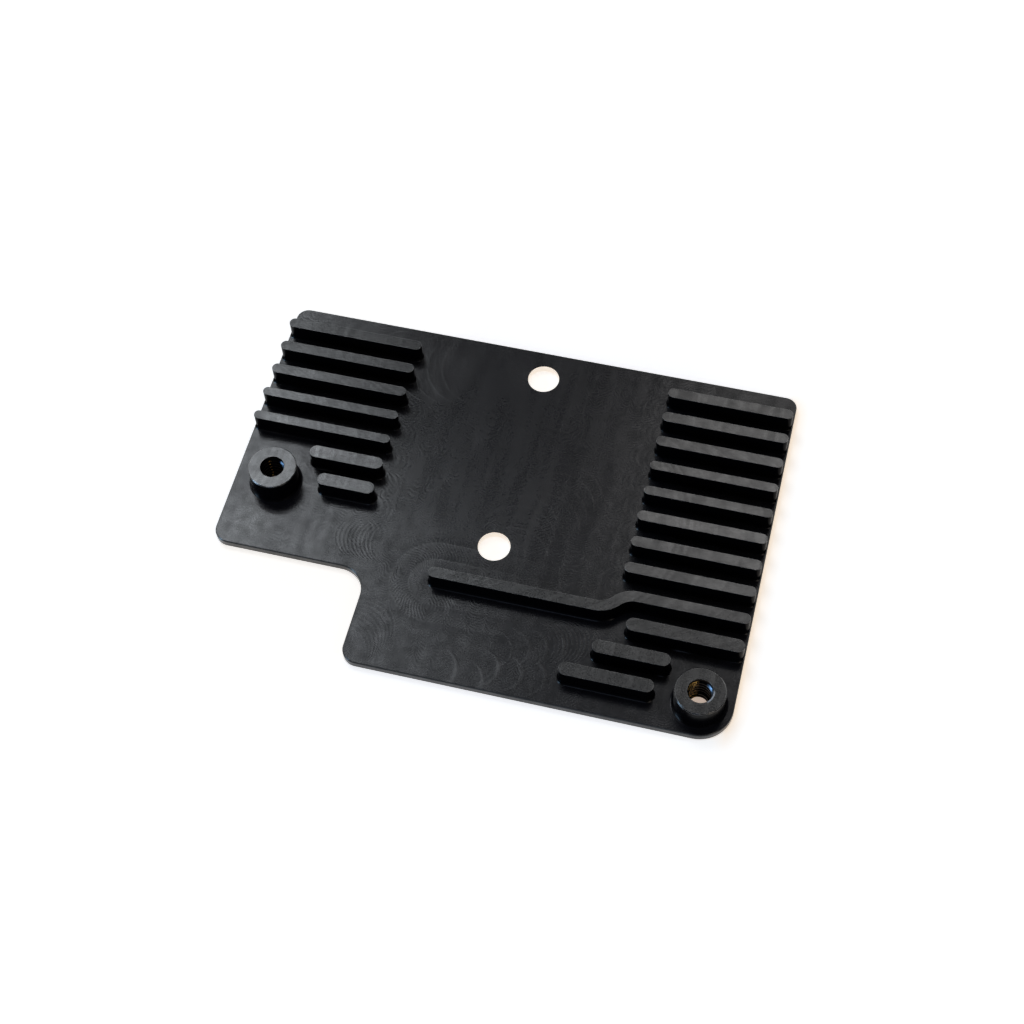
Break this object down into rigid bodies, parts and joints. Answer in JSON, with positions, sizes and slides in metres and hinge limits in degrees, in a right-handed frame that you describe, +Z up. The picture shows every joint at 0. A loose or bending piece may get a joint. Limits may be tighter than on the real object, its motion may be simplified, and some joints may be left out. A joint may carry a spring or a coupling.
{
  "type": "plate heatsink",
  "caption": "Thin one-piece plate heatsink with rows of round-ended fins, one dog-leg fin, a corner notch, two tapped bosses and plain through holes.",
  "frame": {"origin": "middle of the plate's outline on its flat underside", "axes": "+X along the plate's long side, +Y towards the far edge with the first row of fins, +Z up through the fins"},
  "size_m": [0.055, 0.0404, 0.0036],
  "materials": {
    "anodised_aluminium": "satin black anodised, milled"
  },
  "bodies": {
    "root": {"heatsink": "anodised_aluminium"}
  },
  "joints": []
}
